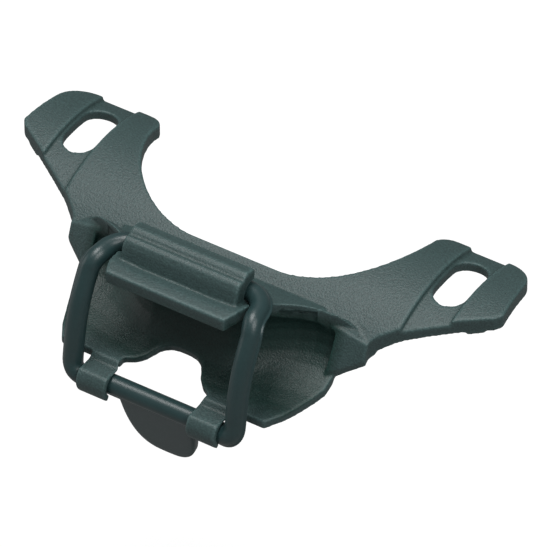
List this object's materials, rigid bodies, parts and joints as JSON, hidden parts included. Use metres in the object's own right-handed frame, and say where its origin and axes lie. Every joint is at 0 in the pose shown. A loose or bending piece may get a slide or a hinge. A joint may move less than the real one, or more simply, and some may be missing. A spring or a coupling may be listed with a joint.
{
  "type": "bike pump holder",
  "caption": "Moulded holder that bolts to a bicycle frame tube under the bottle cage and grips a mini pump in a scooped cradle with a hooked rubber ring and pull tab",
  "frame": {"origin": "midway between the two cage bolts, on the line along the top of the frame tube", "axes": "X along the frame tube, Y from the pump side (front) to the cove side (back), Z away from the frame tube"},
  "size_m": [0.0826, 0.0439, 0.0333],
  "materials": {
    "body_plastic": "dark grey-green moulded plastic with a fine grain",
    "ring_rubber": "smooth dark grey-green rubber with a soft sheen"
  },
  "bodies": {
    "holder": {"holder_body": "body_plastic"},
    "strap": {"strap_ring": "ring_rubber"}
  },
  "joints": [
    {"name": "strap_swing", "type": "hinge", "parent": "holder", "child": "strap", "pos_m": [0, -0.0209, 0.0056], "axis": [-1, 0, 0], "range_deg": [0, 110], "deforming": ["strap_ring"]}
  ]
}
